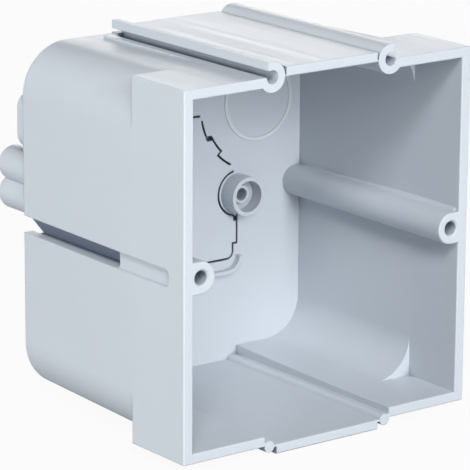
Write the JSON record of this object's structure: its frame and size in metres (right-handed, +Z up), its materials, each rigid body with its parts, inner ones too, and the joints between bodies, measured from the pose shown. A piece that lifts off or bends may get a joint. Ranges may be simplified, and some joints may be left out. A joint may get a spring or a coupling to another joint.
{
  "type": "surface back box",
  "caption": "Open-fronted plastic wiring box with a square front band, a rounded body, coupling hooks on top, beads below, device-screw posts and a break-out line in its back wall.",
  "frame": {"origin": "middle of the front plane, on the line between the two device screws", "axes": "+X to the right across the mouth seen from the front, +Y back into the box, +Z up"},
  "size_m": [0.068, 0.0636, 0.0756],
  "materials": {
    "light_grey_plastic": "satin moulded plastic, light bluish grey"
  },
  "bodies": {
    "root": {"back_box": "light_grey_plastic"}
  },
  "joints": []
}
